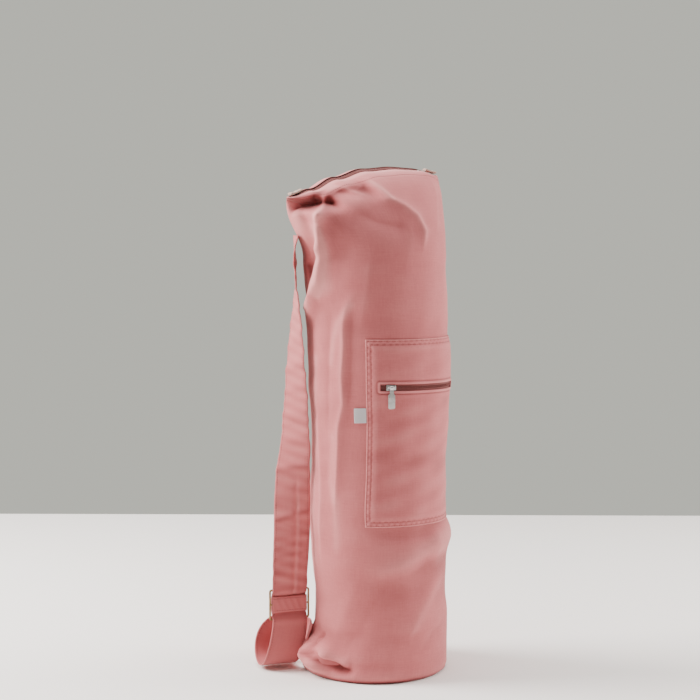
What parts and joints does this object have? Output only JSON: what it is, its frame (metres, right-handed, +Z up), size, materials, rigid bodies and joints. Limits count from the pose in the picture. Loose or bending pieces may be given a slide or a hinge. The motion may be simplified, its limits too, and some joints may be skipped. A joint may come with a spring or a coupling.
{
  "type": "yoga mat bag",
  "caption": "Canvas tube bag for a rolled exercise mat, standing on its round base, with a zipped flat top, a zipped patch pocket and an adjustable side strap.",
  "frame": {"origin": "middle of the round base, on the surface that it stands on", "axes": "+Z up along the tube, -Y towards the pocket, -X towards the strap's side"},
  "size_m": [0.2438, 0.2217, 0.669],
  "materials": {
    "canvas": "matte cotton canvas, dusty pink",
    "zip_tape": "woven zip tape, darker pink",
    "cream_tape": "cream cotton tape",
    "white_tape": "white woven label tape, bare",
    "zip_metal": "nickel plated",
    "buckle_brass": "aged brass"
  },
  "bodies": {
    "bag": {"body_shell": "canvas", "base_panel": "canvas", "top_zip_tape": "zip_tape", "top_zip_teeth": "zip_tape", "top_zip_slider": "zip_metal", "top_zip_end_right": "cream_tape", "top_zip_end_left": "cream_tape", "pocket_panel": "canvas", "pocket_zip_tape": "zip_tape", "pocket_zip_teeth": "zip_tape", "pocket_zip_slider": "zip_metal", "label_tab": "white_tape", "strap": "canvas", "strap_buckle": "buckle_brass", "strap_band": "canvas"},
    "puller": {"pocket_zip_puller": "zip_metal"}
  },
  "joints": [
    {"name": "puller_hinge", "type": "hinge", "parent": "bag", "child": "puller", "pos_m": [-0.05364, -0.085, 0.38376], "axis": [-0.82, 0.5724, 0], "range_deg": [0, 165]}
  ]
}
